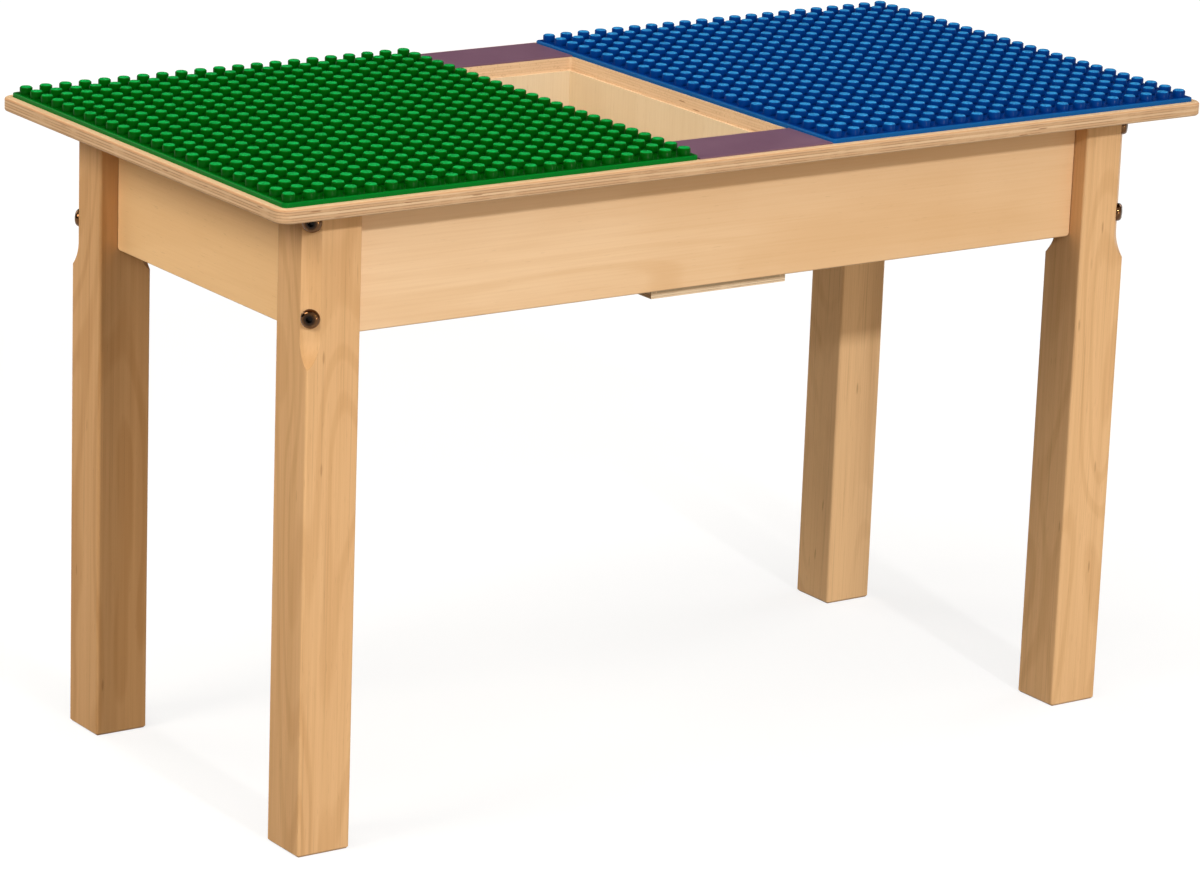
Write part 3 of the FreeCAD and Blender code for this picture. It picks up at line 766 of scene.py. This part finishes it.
class PLAYTABLE_OT_base_plates(bpy.types.Operator):
    """Build the two studded base plates"""

    bl_idname = "playtable.base_plates"
    bl_label = "Base plates"

    def execute(self, context):
        sizes = context.scene.play_table_sizes
        colours = context.scene.play_table_colours
        plates = (("green", colours.green, colours.green_crown_painted_light, (1.7, 6.1, 2.8)),
                  ("blue", colours.blue, colours.blue_crown_painted_light, (5.9, 3.3, 8.2)))
        for name, body, crown, shift in plates:
            node = name + "_base_plate"
            finish = moulded_plastic(name + "_moulded_plastic", node, tuple(body), tuple(crown), shift)
            plate = base_plate(sizes, node)
            new_piece(name + "_studded_plate", plate, finish, [node])
        return {"FINISHED"}


class PLAYTABLE_OT_trim_strips(bpy.types.Operator):
    """Dress the two strips beside the opening"""

    bl_idname = "playtable.trim_strips"
    bl_label = "Trim strips"

    def execute(self, context):
        for side, shift in (("front", (3.9, 0.7, 5.1)), ("back", (8.8, 6.4, 1.2))):
            dress(side + "_trim_strip", satin_laminate("satin_laminate_" + side, shift))
        return {"FINISHED"}


class PLAYTABLE_OT_leg_bolts(bpy.types.Operator):
    """Build the two bolts of each leg"""

    bl_idname = "playtable.leg_bolts"
    bl_label = "Leg bolts"

    def execute(self, context):
        sizes = context.scene.play_table_sizes
        colours = context.scene.play_table_colours
        finish = plated_metal("dark_bronze", tuple(colours.bronze), tuple(colours.bronze_rubbed),
                              tuple(colours.bronze_painted_shade), smooth=0.1, lacquer=0.15,
                              shift=(4.4, 2.1, 9.9))
        for corner in CORNERS:
            node = "leg_bolts_" + corner
            places, length = bolt_places(sizes, node)
            pair = button_bolt(sizes, length)
            lower = pair.verts[:]
            copied = bmesh.ops.duplicate(pair, geom=lower + pair.edges[:] + pair.faces[:])["geom"]
            for verts, place in zip((lower, verts_of(copied)), places):
                bmesh.ops.transform(pair, matrix=place, verts=verts)
            bmesh.ops.recalc_face_normals(pair, faces=pair.faces)
            soften(pair, BOLT_SHARP)
            new_piece("button_bolts_" + corner, pair, finish, [node])
        return {"FINISHED"}


class PLAYTABLE_OT_fasteners(bpy.types.Operator):
    """Dress the screws, inserts and pins"""

    bl_idname = "playtable.fasteners"
    bl_label = "Screws, inserts and pins"

    def execute(self, context):
        colours = context.scene.play_table_colours
        finish = plated_metal("zinc_steel", tuple(colours.zinc), tuple(colours.zinc_dull),
                              tuple(colours.zinc_dull), smooth=0.34, lacquer=0.0,
                              shift=(7.2, 5.6, 0.5))
        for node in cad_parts:
            if node.startswith("bolt_inserts_") or node.endswith(("_screws", "_pins")):
                dress(node, finish)
        return {"FINISHED"}


def lamp(name, place, width, power, colour=(1, 1, 1)):
    """A soft square lamp that looks at the table."""
    light = bpy.data.lights.new(name, "AREA")
    light.shape = "SQUARE"
    light.size = width
    light.energy = power
    light.color = colour
    holder = bpy.data.objects.new(name, light)
    holder.location = place
    holder.rotation_mode = "QUATERNION"
    holder.rotation_quaternion = (Vector(LAMP_TARGET) - Vector(place)).to_track_quat("-Z", "Y")
    bpy.context.scene.collection.objects.link(holder)


def floor_material(colours):
    """Pale to the camera and in reflections, with a faint shadow, and darker in the light it gives."""
    material = bpy.data.materials.new("studio_floor")
    finish = blank_finish(material)
    ray = finish.node("ShaderNodeLightPath", output="Is Camera Ray")
    seen = ray.most(ray.out("Is Glossy Ray")).most(ray.out("Is Transmission Ray"))
    shaded = tuple(part * FLOOR_SHADED_SHARE for part in colours.floor)
    shade = finish.node("ShaderNodeBsdfDiffuse", None, {"Color": shaded})
    away = finish.node("ShaderNodeVectorMath", {"operation": "LENGTH"}, {0: finish.place()},
                       output="Value")
    near = tuple(part * FLOOR_LIT_SHARE for part in colours.floor)
    lit = finish.mix(finish.between(away, FLOOR_PALE_FROM, FLOOR_PALE_TO), near, colours.floor)
    glow = finish.node("ShaderNodeEmission", None, {"Color": lit})
    shown = finish.node("ShaderNodeAddShader", None, {0: shade, 1: glow})
    bounce = finish.node("ShaderNodeBsdfDiffuse", None, {"Color": colours.floor_bounce})
    both = finish.node("ShaderNodeMixShader", None, {0: seen, 1: bounce, 2: shown})
    finish.node("ShaderNodeOutputMaterial", None, {"Surface": both})
    return material


def studio_light(colours):
    """Even light round the studio, dimmer behind the table than in front of it."""
    world = bpy.data.worlds.new("studio_light")
    finish = blank_finish(world)
    rear = finish.between(finish.axes("Generated")[Y], *SKY_TURN)
    sky = finish.mix(rear, colours.sky, colours.sky_rear)
    light = finish.node("ShaderNodeBackground", None, {"Color": sky})
    finish.node("ShaderNodeOutputWorld", None, {"Surface": light})
    return world


def camera_axes(azimuth, elevation, roll):
    """The turn of a camera that looks from an azimuth and an elevation, tilted by a roll."""
    back = Vector((math.sin(azimuth) * math.cos(elevation), -math.cos(azimuth) * math.cos(elevation),
                   math.sin(elevation)))
    right = UP.cross(back).normalized()
    upright = Matrix((right, back.cross(right), back)).transposed()
    return upright @ Matrix.Rotation(roll, 3, "Z")


class PLAYTABLE_OT_stage(bpy.types.Operator):
    """Set the floor, the lamps and the camera"""

    bl_idname = "playtable.stage"
    bl_label = "Studio stage"

    def execute(self, context):
        scene = context.scene
        sizes = scene.play_table_sizes
        colours = scene.play_table_colours
        scene.view_settings.view_transform = "Standard"

        shape = bmesh.new()
        bmesh.ops.create_grid(shape, x_segments=1, y_segments=1, size=sizes.floor_width / 2)
        mesh = bpy.data.meshes.new("studio_floor")
        shape.to_mesh(mesh)
        shape.free()
        mesh.materials.append(floor_material(colours))
        floor = bpy.data.objects.new("studio_floor", mesh)
        scene.collection.objects.link(floor)

        lamp("front_lamp", (-0.36, -3.75, 2.3), width=0.16, power=68)
        lamp("low_lamp", (0.0, -3.2, 0.4), width=0.3, power=13, colour=WARM)
        lamp("left_lamp", (-2.5, -0.1, 1.85), width=1.1, power=41, colour=WARM)
        lamp("top_lamp", (-0.3, -0.3, 2.6), width=1.6, power=26)
        lamp("right_lamp", (2.9, 0.3, 1.9), width=1.6, power=26)
        lamp("back_lamp", (-1.5, 2.8, 2.0), width=1.8, power=36, colour=WARM)
        scene.world = studio_light(colours)

        view = bpy.data.cameras.new("photo_camera")
        view.sensor_width = SENSOR_WIDTH
        view.lens = LENS
        view.shift_x, view.shift_y = LENS_SHIFT
        view.clip_end = FAR_CLIP
        camera = bpy.data.objects.new("photo_camera", view)
        turn = camera_axes(CAMERA_AZIMUTH, CAMERA_ELEVATION, CAMERA_ROLL)
        camera.matrix_world = Matrix.Translation(CAMERA_PLACE) @ turn.to_4x4()
        scene.collection.objects.link(camera)
        scene.camera = camera
        return {"FINISHED"}


STEPS = (PLAYTABLE_OT_top, PLAYTABLE_OT_aprons, PLAYTABLE_OT_legs, PLAYTABLE_OT_bin,
         PLAYTABLE_OT_base_plates, PLAYTABLE_OT_trim_strips, PLAYTABLE_OT_leg_bolts,
         PLAYTABLE_OT_fasteners, PLAYTABLE_OT_stage)


class PLAYTABLE_PT_panel(bpy.types.Panel):
    """The steps that dress the table"""

    bl_idname = "PLAYTABLE_PT_panel"
    bl_label = "Play table"
    bl_space_type = "VIEW_3D"
    bl_region_type = "UI"
    bl_category = "Play table"

    def draw(self, context):
        for step in STEPS:
            self.layout.operator(step.bl_idname)
        for group in (context.scene.play_table_sizes, context.scene.play_table_colours):
            for name in group.__annotations__:
                self.layout.prop(group, name)


CLASSES = (PlayTableSizes, PlayTableColours, *STEPS, PLAYTABLE_PT_panel)


def register():
    for made in CLASSES:
        bpy.utils.register_class(made)
    bpy.types.Scene.play_table_sizes = bpy.props.PointerProperty(type=PlayTableSizes)
    bpy.types.Scene.play_table_colours = bpy.props.PointerProperty(type=PlayTableColours)


def unregister():
    del bpy.types.Scene.play_table_colours
    del bpy.types.Scene.play_table_sizes
    for made in reversed(CLASSES):
        bpy.utils.unregister_class(made)


def main():
    register()
    bpy.ops.playtable.top()
    bpy.ops.playtable.aprons()
    bpy.ops.playtable.legs()
    bpy.ops.playtable.bin()
    bpy.ops.playtable.base_plates()
    bpy.ops.playtable.trim_strips()
    bpy.ops.playtable.leg_bolts()
    bpy.ops.playtable.fasteners()
    bpy.ops.playtable.stage()


if __name__ == "__main__":
    main()
